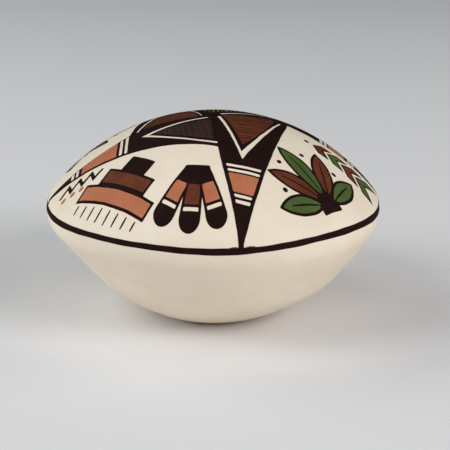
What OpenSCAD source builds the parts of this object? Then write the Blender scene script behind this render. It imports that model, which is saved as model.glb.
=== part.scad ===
// Seed pot: a lens-shaped pot of hand-laid clay coils with a small round mouth in the crown,
// a coat of white slip, a dark shoulder stripe and a painted four-spiked pinwheel on the dome.
// Every clay course, coat and painted area is a solid of its own. Millimetres, +Z up, the front faces -Y.

/* [Form] */
// Outside diameter at the widest line
pot_d = 114; // [106:1:122]
// Height to the crown of the dome
pot_h = 68.5; // [65:0.5:72]
// Height of the widest line
shoulder_h = 37; // [35:0.5:39]
// Rounding radius of the shoulder
shoulder_r = 9.25; // [8:0.25:11]
// Rounding radius of the bowl's flank
flank_r = 120; // [112:1:130]
// Rounding radius where the bowl turns under
turn_r = 31; // [29:0.5:34]
// Diameter of the flat foot
foot_d = 25; // [22:0.5:28]

/* [Clay] */
// Thickness of the clay wall
wall_t = 4; // [3:0.25:5]
// Diameter of the seed hole
hole_d = 3; // [2.4:0.1:5]
// Diameter of the last clay ring round the hole
mouth_ring_d = 20; // [16:1:26]

/* [Coats] */
// Thickness of the white slip
slip_t = 0.4; // [0.3:0.05:0.6]
// Thickness of the paint
paint_t = 0.15; // [0.1:0.05:0.3]

/* [Stripe] */
// Width of the stripe along the surface
stripe_w = 1.8; // [1.4:0.1:2.4]
// Distance along the surface from the stripe up to the start of the dome
tip_l = 3; // [2.4:0.1:3.4]

/* [Star, in the order front, right, back, left] */
// Radius of the star's inner corners, as a share of the pot's radius
corner_share = [0.439, 0.443, 0.45, 0.5]; // [0.435:0.001:0.505]
// Turn of the inner corners from the middle of their side
corner_turn = [3.7, 8, 5, 11.1]; // [3:0.1:12]
// Turn of the spike tips from the middle of their side
tip_turn = [8.9, -0.2, 8, 10.3]; // [-1:0.1:11]
// Width of the spike tips
tip_w = [1.45, 1.5, 1.5, 1.8]; // [1.4:0.05:1.9]
// Bow of the left edges to the right
left_bow = [-0.4, -1.7, -0.3, 2.35]; // [-2:0.05:2.5]
// Place of the greatest bow on the left edges, as a share of their depth
left_bow_at = [0.36, 0.6, 0.4, 0.42]; // [0.33:0.01:0.6]
// Bow of the right edges to the right
right_bow = [1.6, 1.5, 0.8, 2.4]; // [0.5:0.05:2.5]
// Place of the greatest bow on the right edges
right_bow_at = [0.58, 0.5, 0.5, 0.33]; // [0.33:0.01:0.6]
// Start of the terracotta blocks, as a share of the pot's radius
block_in = [0.64, 0.688, 0.633, 0.56]; // [0.55:0.001:0.69]
// End of the blocks
block_out = [0.752, 0.782, 0.754, 0.768]; // [0.745:0.001:0.79]

/* [Bands] */
// Width of the dark border beside the bands of a spike
border_w = 1; // [0.7:0.1:1.3]
// Width of a white band line
line_w = 1; // [0.8:0.05:1.1]
// Distance between the two white lines of a pair
line_pitch = 1.8; // [1.6:0.05:2.1]
// Distance from a terracotta block to the nearer white line
line_gap = 1.15; // [0.95:0.05:1.3]

/* [Pinwheel, in the order front, right, back, left] */
// Distance from the axis at which the first white line of a blade starts
line_start = [2.3, 2.4, 3.9, 3.7]; // [2.2:0.1:4]
// Turn of that start from the middle of its side
line_start_turn = [45.9, 22.2, 97.3, 60.6]; // [20:0.1:100]
// Reach of the blades, as a share of the pot's radius
blade_reach = [0.527, 0.515, 0.515, 0.441]; // [0.435:0.001:0.53]
// Turn of their points
blade_turn = [17.8, 26.3, 31.2, 27]; // [17:0.1:32]
// Share of the pot's radius at which the second white line ends
line_end = [0.382, 0.4, 0.46, 0.401]; // [0.375:0.001:0.465]
// Turn of that end
line_end_turn = [95.8, 95, 101.2, 93.5]; // [93:0.1:102]
// Width of the white lines along a blade
blade_line_w = 1; // [0.8:0.05:1.2]
// Distance from the middle of these lines to the colour of the blade
field_gap = 1.7; // [1.5:0.1:2]
// Distance that the colour's open side is set back
field_back = 1.6; // [1.4:0.1:1.8]

/* [Leaf fan] */
// Turn of the front fan's middle leaf from the front
fan_turn = 47; // [46:0.5:48.5]
// Turn of the back fan's middle leaf
fan_back_turn = 249; // [247:0.5:251]
// Distance of the fan's foot from the axis, as a share of the pot's radius
fan_share = 0.9; // [0.895:0.005:0.905]
// Length of the middle leaf in plan
leaf_l = 18.5; // [17:0.5:19]
// Width of the middle leaf
leaf_w = 5.8; // [5.2:0.1:6]
// Size of the leaves beside it, as a share of it
next_leaf = 0.92; // [0.88:0.01:0.94]
// Size of the outer leaves, as a share of it
side_leaf = 0.78; // [0.74:0.01:0.82]
// Distance from the fan's origin to the leaves
leaf_from = 3.2; // [3:0.1:3.4]
// Angle between neighbouring leaves
leaf_step = 36; // [35.5:0.5:37]
// Width of the fan's foot
fan_foot_w = 8.4; // [8:0.1:9]
// Height of the fan's foot
fan_foot_h = 2.8; // [2.6:0.1:3]
// Width of the step on the foot
fan_neck_w = 4.8; // [4.4:0.1:5.2]
// Height of the step on the foot
fan_neck_h = 2.1; // [1.9:0.1:2.3]

/* [Cloud] */
// Turn of the stepped cloud from the front
cloud_turn = -41; // [-42:0.5:-40]
// Distance of the cloud's foot from the axis, as a share of the pot's radius
cloud_share = 0.885; // [0.88:0.005:0.89]
// Width of the cloud's lowest step
cloud_w = 30; // [28:0.5:31]
// Height of one step in plan
step_h = 5.6; // [5.2:0.1:5.8]

/* [Feathers] */
// Turn of the three feathers from the front
feather_turn = -8; // [-9:0.5:-7.5]
// Distance of the feathers' tie from the axis, as a share of the pot's radius
feather_share = 0.55; // [0.545:0.005:0.555]
// Length of a feather in plan
feather_l = 17.4; // [16.8:0.1:17.6]
// Width of a feather at its tie
feather_top_w = 2.6; // [2.4:0.1:2.8]
// Width of a feather at its tip
feather_w = 5.2; // [4.8:0.1:5.4]
// Lean of the side feathers
feather_lean = 25; // [24.5:0.5:26]
// Start of a feather's coloured field
field_in = 7.4; // [7.3:0.1:7.8]
// End of the field
field_out = 13.5; // [13.2:0.1:13.7]
// Width of the white bar under the field
bar_w = 1.1; // [0.9:0.1:1.3]

/* [Lines] */
// Width of the dark outline of a motif
outline_w = 0.8; // [0.7:0.05:0.9]

/* [Hidden] */
$fn = 180;
big = 400;
pot_r = pot_d / 2;
foot_r = foot_d / 2;
hole_r = hole_d / 2;
// Motif sizes are given at a pot of 114 mm and follow its diameter
motif = pot_d / 114;
// Depths below the outermost surface: paint, slip, clay
slip_in = paint_t + slip_t;
clay_in = slip_in + wall_t;

// Profile: dome, shoulder, flank and turn are arcs that run into one another
shoulder_c = [pot_r - shoulder_r, shoulder_h];
turn_c = [foot_r, turn_r];
crown_drop = pot_h - shoulder_r - shoulder_h;
dome_z = ((pot_h - shoulder_r) ^ 2 - shoulder_h ^ 2 - shoulder_c.x ^ 2) / (2 * crown_drop);
dome_r = pot_h - dome_z;
dome_c = [0, dome_z];
between = turn_c - shoulder_c;
reach = norm(between);
along = ((flank_r - shoulder_r) ^ 2 - (flank_r - turn_r) ^ 2 + reach ^ 2) / (2 * reach);
aside = sqrt((flank_r - shoulder_r) ^ 2 - along ^ 2);
way = between / reach;
flank_c = shoulder_c + along * way + aside * [way.y, -way.x];
// Angles at which one arc runs into the next
dome_from = atan2(shoulder_h - dome_z, shoulder_c.x);
flank_to = atan2(shoulder_c.y - flank_c.y, shoulder_c.x - flank_c.x);
flank_from = atan2(turn_c.y - flank_c.y, turn_c.x - flank_c.x);
mouth_from = 90 - asin(mouth_ring_d / 2 / dome_r);
course_a = (mouth_from - dome_from) / 4;
// Stripe on the shoulder arc
stripe_to = dome_from - tip_l / shoulder_r * 180 / PI;
stripe_from = stripe_to - stripe_w / shoulder_r * 180 / PI;
// Leaves of a fan from its right to its left
leaf_sizes = [side_leaf, next_leaf, 1, next_leaf, side_leaf];

clay = [0.76, 0.62, 0.48];
white = [0.90, 0.87, 0.80];
black = [0.14, 0.09, 0.08];
brown = [0.40, 0.21, 0.14];
terracotta = [0.78, 0.47, 0.35];
green = [0.29, 0.41, 0.24];

// A point of the plan: share of the pot's radius, turn from the front towards +X
function plan(share, turn) = pot_r * share * [sin(turn), -cos(turn)];
// A point of the plan turned about the axis
function turned(p, turn) = [p.x * cos(turn) - p.y * sin(turn), p.x * sin(turn) + p.y * cos(turn)];
// Inner corner, tip and edges of spike k, drawn as if it pointed to the front
function corner(k) = plan(corner_share[k], corner_turn[k]);
function next_corner(k) = turned(corner((k + 1) % 4), 90);
function tip_half(k) = atan(tip_w[k] / 2 / pot_r);
function tip_left(k) = plan(0.985, tip_turn[k] - tip_half(k));
function tip_right(k) = plan(0.985, tip_turn[k] + tip_half(k));
function left_x(k, y) = edge_x(corner(k), tip_left(k), left_bow[k], left_bow_at[k], y);
function right_x(k, y) = edge_x(tip_right(k), next_corner(k), right_bow[k], right_bow_at[k], y);
// Where a bowed edge from p to q stands at depth y in the plan
function edge_x(p, q, bow, at, y) =
    let (s = min(max((y - p.y) / (q.y - p.y), 0), 1))
    p.x + (q.x - p.x) * s + bow * motif * s / at * ((1 - s) / (1 - at)) ^ (1 / at - 1);
// Points of blade k, drawn as if it pointed to the front
function blade_start(k) = plan(line_start[k] * motif / pot_r, line_start_turn[k]);
function blade_point(k) = plan(blade_reach[k], blade_turn[k]);
function blade_end(k) = plan(line_end[k], line_end_turn[k]);
// A point moved straight away from another
function run_back(p, from, by) = p + by * (p - from) / norm(p - from);

// Part of a wall arc between two depths below its surface and two angles
module arc_band(c, r, a, b, from, to) {
    mid = (from + to) / 2;
    intersection() {
        translate(c) difference() {
            circle(r = r - a);
            circle(r = r - b);
        }
        polygon([
            c,
            c + 2 * r * [cos(from), sin(from)],
            c + 2 * r * [cos(mid), sin(mid)],
            c + 2 * r * [cos(to), sin(to)]
        ]);
    }
}

module turn_band(a, b, from, to) {
    arc_band(turn_c, turn_r, a, b, from, to);
}

module flank_band(a, b, from, to) {
    arc_band(flank_c, flank_r, a, b, from, to);
}

module shoulder_band(a, b, from, to) {
    arc_band(shoulder_c, shoulder_r, a, b, from, to);
}

// Dome band up to the seed hole
module dome_band(a, b, from, to) {
    difference() {
        arc_band(dome_c, dome_r, a, b, from, to);
        translate([0, dome_z]) square([hole_r, 2 * dome_r]);
    }
}

// Clay

module base_disc() {
    color(clay) cylinder(r = foot_r, h = clay_in);
}

module bowl_course_1() {
    color(clay) rotate_extrude() turn_band(slip_in, clay_in, -90, (flank_from - 90) / 2);
}

module bowl_course_2() {
    color(clay) rotate_extrude() turn_band(slip_in, clay_in, (flank_from - 90) / 2, flank_from);
}

module bowl_course_3() {
    color(clay) rotate_extrude() flank_band(slip_in, clay_in, flank_from, (flank_from + flank_to) / 2);
}

module bowl_course_4() {
    color(clay) rotate_extrude() flank_band(slip_in, clay_in, (flank_from + flank_to) / 2, flank_to);
}

module shoulder_course() {
    color(clay) rotate_extrude() shoulder_band(slip_in, clay_in, flank_to, dome_from);
}

module dome_course(n) {
    color(clay) rotate_extrude()
        dome_band(slip_in, clay_in, dome_from + (n - 1) * course_a, dome_from + n * course_a);
}

module mouth_ring() {
    color(clay) rotate_extrude() dome_band(slip_in, clay_in, mouth_from, 90);
}

// Slip

module turn_slip() {
    color(white) rotate_extrude() turn_band(paint_t, slip_in, -90, flank_from);
}

module flank_slip() {
    color(white) rotate_extrude() flank_band(paint_t, slip_in, flank_from, flank_to);
}

module shoulder_slip() {
    color(white) rotate_extrude() shoulder_band(paint_t, slip_in, flank_to, dome_from);
}

module dome_slip() {
    color(white) rotate_extrude() dome_band(paint_t, slip_in, dome_from, 90);
}

// Paint on the shoulder

module shoulder_stripe() {
    color(black) rotate_extrude() shoulder_band(0, paint_t, stripe_from, stripe_to);
}

// Paint on the dome: a plan laid down on the surface

module on_dome() {
    intersection() {
        rotate_extrude() dome_band(0, paint_t, dome_from, 90);
        translate([0, 0, shoulder_h]) linear_extrude(height = pot_h) children();
    }
}

// The same between the dome and the stripe
module on_shoulder() {
    intersection() {
        rotate_extrude() shoulder_band(0, paint_t, stripe_to, dome_from);
        translate([0, 0, shoulder_h]) linear_extrude(height = pot_h) children();
    }
}

// Star

module star_plan() {
    polygon([for (k = [0:3]) each [
        for (n = [0:15]) turned(left_point(k, n / 16), 90 * k),
        for (turn = [-1, 1]) turned(plan(1.1, tip_turn[k] + turn * tip_half(k)), 90 * k),
        for (n = [0:23]) turned(right_point(k, n / 24), 90 * k)
    ]]);
}

function left_point(k, s) =
    let (y = corner(k).y + (tip_left(k).y - corner(k).y) * s) [left_x(k, y), y];
function right_point(k, s) =
    let (y = tip_right(k).y + (next_corner(k).y - tip_right(k).y) * s) [right_x(k, y), y];

// Depth at which a spike parts from the star's ground
function spike_from(k) = -(pot_r * block_in[k] - line_gap - line_pitch - line_w);

// A window across spike k between two depths, inside the dark borders
module spike_window(k, y1, y2) {
    polygon([
        [left_x(k, y1) + border_w, y1],
        [right_x(k, y1) - border_w, y1],
        [right_x(k, y2) - border_w, y2],
        [left_x(k, y2) + border_w, y2]
    ]);
}

module block_plan(k) {
    spike_window(k, -pot_r * block_out[k], -pot_r * block_in[k]);
}

module band_plan(k) {
    upper = -pot_r * block_in[k] + line_gap;
    lower = -pot_r * block_out[k] - line_gap;
    for (n = [0, 1]) {
        spike_window(k, upper + n * line_pitch - line_w / 2, upper + n * line_pitch + line_w / 2);
        spike_window(k, lower - n * line_pitch - line_w / 2, lower - n * line_pitch + line_w / 2);
    }
}

module spike_plan(k) {
    intersection() {
        rotate(-90 * k) star_plan();
        translate([-pot_r / 2, spike_from(k) - big]) square([pot_r, big]);
    }
}

module spike(k) {
    color(black) rotate([0, 0, 90 * k]) on_dome() difference() {
        spike_plan(k);
        block_plan(k);
        band_plan(k);
    }
}

module tip(k) {
    color(black) rotate([0, 0, 90 * k]) on_shoulder() spike_plan(k);
}

module block(k) {
    color(terracotta) rotate([0, 0, 90 * k]) on_dome() block_plan(k);
}

// A line of even width from p to q, run on by half its width at q
module line_plan(p, q, w) {
    u = (q - p) / norm(q - p);
    n = [-u.y, u.x] * w / 2;
    polygon([p + n, p - n, q + u * w / 2 - n, q + u * w / 2 + n]);
}

// The two white lines of blade k
module blade_lines(k) {
    line_plan(blade_start(k), blade_point(k), blade_line_w);
    line_plan(blade_end(k), blade_point(k), blade_line_w);
}

// The coloured area of blade k between its lines
module blade_fill(k) {
    point = blade_point(k);
    offset(delta = -field_gap) polygon([
        run_back(blade_start(k), point, field_back),
        point,
        run_back(blade_end(k), point, field_back)
    ]);
}

module star_ground() {
    color(black) on_dome() difference() {
        star_plan();
        for (k = [0:3]) rotate(90 * k) {
            blade_lines(k);
            blade_fill(k);
            translate([-pot_r / 2, spike_from(k) - big]) square([pot_r, big]);
        }
    }
}

module blade(k, c) {
    color(c) on_dome() rotate(90 * k) blade_fill(k);
}

// Motifs: local x to the right, local y towards the mouth

module place(turn, share) {
    rotate(turn) translate([0, -pot_r * share]) scale(motif) children();
}

// A pointed leaf from the origin along y, its sides moved outwards by q
module leaf_plan(size, q) {
    l = leaf_l * size;
    w = leaf_w * size;
    r = (l ^ 2 + w ^ 2) / (4 * w);
    translate([0, l / 2]) intersection() {
        translate([r - w / 2, 0]) circle(r = r + q);
        translate([w / 2 - r, 0]) circle(r = r + q);
    }
}

module fan_leaf(n, q) {
    rotate((3 - n) * leaf_step) translate([0, leaf_from]) leaf_plan(leaf_sizes[n - 1], q);
}

// The stepped foot of a fan, its step just over the start of the middle leaf
module fan_foot() {
    top = leaf_from + 0.2;
    translate([-fan_neck_w / 2, top - fan_neck_h]) square([fan_neck_w, fan_neck_h]);
    translate([-fan_foot_w / 2, top - fan_neck_h - fan_foot_h]) square([fan_foot_w, fan_foot_h]);
}

module fan_line(turn) {
    color(black) on_dome() place(turn, fan_share) difference() {
        union() {
            fan_foot();
            for (n = [1:5]) fan_leaf(n, outline_w);
        }
        for (n = [1:5]) fan_leaf(n, 0);
    }
}

module leaf(turn, n, c) {
    color(c) on_dome() place(turn, fan_share) fan_leaf(n, 0);
}

// Step n of the cloud, its sides moved outwards by q
module cloud_step(n, q) {
    w = cloud_w * (4 - n) / 3;
    translate([-w / 2 - q, (n - 1) * step_h - q]) square([w + 2 * q, step_h + 2 * q]);
}

module cloud_line(turn) {
    color(black) on_dome() place(turn, cloud_share) difference() {
        for (n = [1:3]) cloud_step(n, 0);
        cloud_step(1, -outline_w);
        cloud_step(2, -outline_w);
    }
}

module cloud_fill(turn, n, c) {
    color(c) on_dome() place(turn, cloud_share) cloud_step(n, -outline_w);
}

// Half the width of a feather at a distance from its tie
function feather_half(at) = (feather_top_w + (feather_w - feather_top_w) * at / feather_l) / 2;

// Length of a feather between two distances from its tie, its sides moved outwards by q
module feather_span(from, to, q) {
    polygon([
        [-feather_half(from) - q, -from], [feather_half(from) + q, -from],
        [feather_half(to) + q, -to], [-feather_half(to) - q, -to]
    ]);
}

// A whole feather with its outline and round tip
module feather_plan() {
    top = feather_half(2) + outline_w;
    end = feather_half(feather_l) + outline_w;
    polygon([
        [-top, -2],
        [top, -2],
        for (turn = [0:12:180]) [end * cos(turn), -feather_l - end * sin(turn)]
    ]);
}

// Coloured length of a feather, and the white bar between it and the dark tip
module feather_field() {
    feather_span(field_in, field_out, 0);
}

module feather_bar() {
    feather_span(field_out + outline_w, field_out + outline_w + bar_w, 0);
}

module feather_at(side) {
    rotate(side * feather_lean) translate([0, -2]) children();
}

// The tie over the tops of the feathers
module feather_tie() {
    polygon([[-2.6, -2.6], [2.6, -2.6], [3.4, -5.4], [-3.4, -5.4]]);
}

module feather_line(turn) {
    color(black) on_dome() place(turn, feather_share) difference() {
        union() {
            for (side = [-1:1]) feather_at(side) feather_plan();
            feather_tie();
        }
        for (side = [-1:1]) feather_at(side) {
            feather_field();
            feather_bar();
        }
    }
}

module feather_fill(turn, side, c) {
    color(c) on_dome() place(turn, feather_share) feather_at(side) feather_field();
}

base_disc();
bowl_course_1();
bowl_course_2();
bowl_course_3();
bowl_course_4();
shoulder_course();
dome_course(1);  // dome_course_1
dome_course(2);  // dome_course_2
dome_course(3);  // dome_course_3
dome_course(4);  // dome_course_4
mouth_ring();
turn_slip();
flank_slip();
shoulder_slip();
dome_slip();
shoulder_stripe();
star_ground();
spike(0);  // spike_front
spike(1);  // spike_right
spike(2);  // spike_back
spike(3);  // spike_left
tip(0);  // tip_front
tip(1);  // tip_right
tip(2);  // tip_back
tip(3);  // tip_left
block(0);  // block_front
block(1);  // block_right
block(2);  // block_back
block(3);  // block_left
blade(0, brown);  // blade_front
blade(1, green);  // blade_right
blade(2, brown);  // blade_back
blade(3, brown);  // blade_left
fan_line(fan_turn);  // fan_line_front
leaf(fan_turn, 1, green);  // leaf_1_front
leaf(fan_turn, 2, brown);  // leaf_2_front
leaf(fan_turn, 3, green);  // leaf_3_front
leaf(fan_turn, 4, brown);  // leaf_4_front
leaf(fan_turn, 5, green);  // leaf_5_front
fan_line(fan_back_turn);  // fan_line_back
leaf(fan_back_turn, 1, green);  // leaf_1_back
leaf(fan_back_turn, 2, brown);  // leaf_2_back
leaf(fan_back_turn, 3, green);  // leaf_3_back
leaf(fan_back_turn, 4, brown);  // leaf_4_back
leaf(fan_back_turn, 5, green);  // leaf_5_back
cloud_line(cloud_turn);  // cloud_line_front
cloud_fill(cloud_turn, 1, terracotta);  // cloud_low_front
cloud_fill(cloud_turn, 2, brown);  // cloud_high_front
cloud_line(cloud_turn + 180);  // cloud_line_back
cloud_fill(cloud_turn + 180, 1, terracotta);  // cloud_low_back
cloud_fill(cloud_turn + 180, 2, brown);  // cloud_high_back
feather_line(feather_turn);  // feather_line_front
feather_fill(feather_turn, -1, terracotta);  // feather_left_front
feather_fill(feather_turn, 0, brown);  // feather_mid_front
feather_fill(feather_turn, 1, terracotta);  // feather_right_front
feather_line(feather_turn + 180);  // feather_line_back
feather_fill(feather_turn + 180, -1, terracotta);  // feather_left_back
feather_fill(feather_turn + 180, 0, brown);  // feather_mid_back
feather_fill(feather_turn + 180, 1, terracotta);  // feather_right_back
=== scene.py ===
"""Looks of the seed pot: coiled clay under a polished white slip, painted by hand.

Lengths are millimetres until a mesh is made, and metres in the studio. The front faces -Y. Turns are degrees
from the front towards +X.
"""

import math

import bpy
import numpy as np
from mathutils import Matrix, Vector
from mathutils.geometry import delaunay_2d_cdt


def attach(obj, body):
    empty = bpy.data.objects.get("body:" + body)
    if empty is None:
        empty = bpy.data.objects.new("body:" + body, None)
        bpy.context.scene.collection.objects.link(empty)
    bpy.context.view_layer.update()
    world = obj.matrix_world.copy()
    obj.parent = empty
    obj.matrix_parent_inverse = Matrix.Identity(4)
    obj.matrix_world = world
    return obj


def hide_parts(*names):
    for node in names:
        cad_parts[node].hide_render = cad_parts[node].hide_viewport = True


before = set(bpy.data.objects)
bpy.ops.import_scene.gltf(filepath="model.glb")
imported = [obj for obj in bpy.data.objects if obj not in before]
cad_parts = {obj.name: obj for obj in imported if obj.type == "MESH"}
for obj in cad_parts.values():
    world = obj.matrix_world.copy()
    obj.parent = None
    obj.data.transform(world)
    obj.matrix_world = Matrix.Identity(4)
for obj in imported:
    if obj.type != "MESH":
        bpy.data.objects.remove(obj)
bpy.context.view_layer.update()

# Form of the pot, as in the part
MM = 0.001
POT_R = 57.0
POT_H = 68.5
SHOULDER_H = 37.0
SHOULDER_R = 9.25
FLANK_R = 120.0
TURN_R = 31.0
FOOT_R = 12.5
WALL_T = 4.0
HOLE_R = 1.5
MOUTH_RING_R = 10.0
SLIP_T = 0.4
PAINT_T = 0.15
SLIP_IN = PAINT_T + SLIP_T
CLAY_IN = SLIP_IN + WALL_T

# Centres of the arcs that make the profile, and the angles at which they meet
SHOULDER_C = np.array([POT_R - SHOULDER_R, SHOULDER_H])
TURN_C = np.array([FOOT_R, TURN_R])
CROWN_DROP = POT_H - SHOULDER_R - SHOULDER_H
DOME_Z = ((POT_H - SHOULDER_R) ** 2 - SHOULDER_H ** 2 - SHOULDER_C[0] ** 2) / (2 * CROWN_DROP)
DOME_R = POT_H - DOME_Z
DOME_C = np.array([0.0, DOME_Z])
BETWEEN = TURN_C - SHOULDER_C
REACH = math.hypot(*BETWEEN)
ALONG = ((FLANK_R - SHOULDER_R) ** 2 - (FLANK_R - TURN_R) ** 2 + REACH ** 2) / (2 * REACH)
ASIDE = math.sqrt((FLANK_R - SHOULDER_R) ** 2 - ALONG ** 2)
WAY = BETWEEN / REACH
FLANK_C = SHOULDER_C + ALONG * WAY + ASIDE * np.array([WAY[1], -WAY[0]])
DOME_FROM = math.degrees(math.atan2(SHOULDER_H - DOME_Z, SHOULDER_C[0]))
FLANK_TO = math.degrees(math.atan2(*(SHOULDER_C - FLANK_C)[::-1]))
FLANK_FROM = math.degrees(math.atan2(*(TURN_C - FLANK_C)[::-1]))
MOUTH_FROM = 90 - math.degrees(math.asin(MOUTH_RING_R / DOME_R))
DOME_EDGE = DOME_R * math.cos(math.radians(DOME_FROM))

# Stripe on the shoulder, and how far its upper and lower edge stray at turns from the front
STRIPE_W = 1.8
TIP_L = 3.0
STRIPE_TO = DOME_FROM - math.degrees(TIP_L / SHOULDER_R)
STRIPE_FROM = STRIPE_TO - math.degrees(STRIPE_W / SHOULDER_R)
STRIPE_STRAYS = (
    (-84, -0.45, -0.9), (-60, -0.7, -0.9), (-46, -0.15, -0.2), (-26, 0.05, -0.1), (-12, -0.35, -0.35),
    (3, -0.6, -1.0), (14, -0.5, -0.65), (24, 0.0, -0.4), (36, 0.35, 0.15), (50, 0.2, -0.1),
    (60, -0.1, -0.5), (72, -0.6, -1.4), (90, -0.3, -0.8), (120, 0.2, 0.0), (165, -0.2, -0.4),
    (215, 0.15, -0.05), (255, -0.2, -0.5),
)

# Thickness of a coat of paint, of the stripe, of paint that runs over another edge, and of a line on paint
COAT = 0.05
STRIPE_COAT = 0.054
RUN_OVER_COAT = 0.06
SECOND_COAT = 0.075

# Fineness of the meshes: steps round the axis, along the profile, along outlines and inside them
TURNS = 288
CLAY_TURNS = 144
HOLE_TURNS = 48
SKIN_STEP = 0.6
EDGE_STEP = 0.35
FINE_EDGE_STEP = 0.08
GRID_STEP = 1.1
FINE_GRID_STEP = 0.16


class Signal:
    """A value on its way through a material, so that sums and products of values read as such."""

    def __init__(self, finish, socket):
        self.finish = finish
        self.socket = socket

    def worked(self, operation, first, second):
        """The outcome of a sum, difference or product."""
        return self.finish.node("ShaderNodeMath", {"operation": operation}, {0: first, 1: second})

    def __add__(self, other):
        return self.worked("ADD", self, other)

    def __radd__(self, other):
        return self.worked("ADD", other, self)

    def __sub__(self, other):
        return self.worked("SUBTRACT", self, other)

    def __rsub__(self, other):
        return self.worked("SUBTRACT", other, self)

    def __mul__(self, other):
        return self.worked("MULTIPLY", self, other)

    def __rmul__(self, other):
        return self.worked("MULTIPLY", other, self)


class Finish:
    """A material: one shader, and a method that adds the nodes behind it."""

    def __init__(self, name):
        self.material = bpy.data.materials.new(name)
        self.material.use_nodes = True
        self.tree = self.material.node_tree
        self.shader = self.tree.nodes["Principled BSDF"]

    def put(self, holder, sockets):
        """Sets the sockets of a node to numbers or colours, or links values to them."""
        for key, value in sockets.items():
            if isinstance(value, Signal):
                self.tree.links.new(value.socket, holder.inputs[key])
            else:
                holder.inputs[key].default_value = value

    def node(self, kind, settings, sockets, output=0):
        """What comes out of a new node of a kind."""
        made = self.tree.nodes.new(kind)
        for key, value in settings.items():
            setattr(made, key, value)
        self.put(made, sockets)
        return Signal(self, made.outputs[output])

    def shade(self, **sockets):
        """Sets or links sockets of the shader, with underscores for the spaces in their names."""
        self.put(self.shader, {key.replace("_", " "): value for key, value in sockets.items()})

    def spot(self):
        """Where a point of the piece is, in metres."""
        return self.node("ShaderNodeTexCoord", {}, {}, "Object")

    def along(self, axis):
        """How far a point of the piece lies along an axis, in metres."""
        return self.node("ShaderNodeSeparateXYZ", {}, {0: self.spot()}, axis)

    def stretched(self, stretch):
        """Where a point of the piece is, in millimetres, stretched by three factors."""
        factors = tuple(factor / MM for factor in stretch)
        return self.node("ShaderNodeVectorMath", {"operation": "MULTIPLY"}, {0: self.spot(), 1: factors})

    def cloudy(self, stretch, detail=3.0, roughness=0.55):
        """Smooth noise from 0 to 1 with about one wave to a stretched millimetre."""
        place = self.stretched(stretch)
        sockets = {"Vector": place, "Scale": 1.0, "Detail": detail, "Roughness": roughness}
        return self.node("ShaderNodeTexNoise", {}, sockets)

    def ranged(self, value, low, high, to_low=0.0, to_high=1.0):
        """A value from low to high brought smoothly to another range."""
        sockets = {0: value, 1: low, 2: high, 3: to_low, 4: to_high}
        return self.node("ShaderNodeMapRange", {"interpolation_type": "SMOOTHSTEP"}, sockets)

    def tinted(self, share, first, second):
        """The first colour going over into the second."""
        settings = {"data_type": "RGBA"}
        return self.node("ShaderNodeMix", settings, {0: share, 6: first, 7: second}, 2)

    def bumped(self, height, depth):
        """A normal from a height of 0 to 1, which is a depth in millimetres."""
        return self.node("ShaderNodeBump", {}, {"Height": height, "Strength": 1.0, "Distance": depth * MM})


def paint_chip(red, green, blue):
    """A colour given as on a screen, 0 to 255, as light."""

    def light(level):
        level /= 255
        return level / 12.92 if level <= 0.04045 else ((level + 0.055) / 1.055) ** 2.4

    return light(red), light(green), light(blue), 1.0


def slip_finish():
    """White slip rubbed with a smooth stone: warm, clouded, with level rubbing marks, and painted shade
    darkening it towards the foot.
    """
    finish = Finish("polished_white_slip")
    foot_shade_h = 11.0
    mottle = finish.cloudy((0.07, 0.07, 0.09), detail=4.0)
    rubbing = finish.cloudy((0.05, 0.05, 0.9), detail=5.0)
    grain = finish.cloudy((2.6, 2.6, 2.6), detail=2.0)
    grit = finish.cloudy((0.55, 0.55, 0.55), detail=2.0, roughness=0.7)
    warm = finish.ranged(mottle, 0.34, 0.68)
    ivory = finish.tinted(warm, paint_chip(243, 229, 209), paint_chip(240, 224, 203))
    streaked = finish.tinted(finish.ranged(rubbing, 0.45, 0.8, 0.0, 0.22), ivory, paint_chip(227, 212, 187))
    flecked = finish.tinted(finish.ranged(grit, 0.75, 0.82, 0.0, 0.2), streaked, paint_chip(176, 143, 108))
    # Painted shade near the floor: the slip goes over towards dark buff in its lowest 11 mm
    thin = finish.ranged(finish.along("Z"), 0.0, foot_shade_h * MM, 0.3, 0.0)
    height = 0.35 * rubbing + 0.3 * grain + 0.6 * mottle
    finish.shade(
        Base_Color=finish.tinted(thin, flecked, paint_chip(196, 152, 108)),
        Roughness=0.5 + 0.12 * rubbing + 0.06 * grain,
        Normal=finish.bumped(height, 0.04),
        Specular_IOR_Level=0.27,
    )
    return finish.material


def pigment_finish(name, thin, body, deep, roughness, gloss):
    """Ground pigment brushed on: tone drifts with the load of the brush, and short strokes show."""
    finish = Finish(name)
    load = finish.cloudy((0.16, 0.16, 0.16))
    strokes = finish.cloudy((0.5, 1.9, 1.2), detail=4.0)
    grain = finish.cloudy((3.2, 3.2, 3.2), detail=2.0)
    even = finish.tinted(finish.ranged(load, 0.32, 0.66), paint_chip(*thin), paint_chip(*body))
    brushed = finish.tinted(finish.ranged(strokes, 0.42, 0.8, 0.0, 0.4), even, paint_chip(*deep))
    finish.shade(
        Base_Color=brushed,
        Roughness=roughness + 0.1 * strokes - 0.06 * load,
        Normal=finish.bumped(0.6 * strokes + 0.4 * grain, 0.02),
        Specular_IOR_Level=gloss,
    )
    return finish.material


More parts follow.
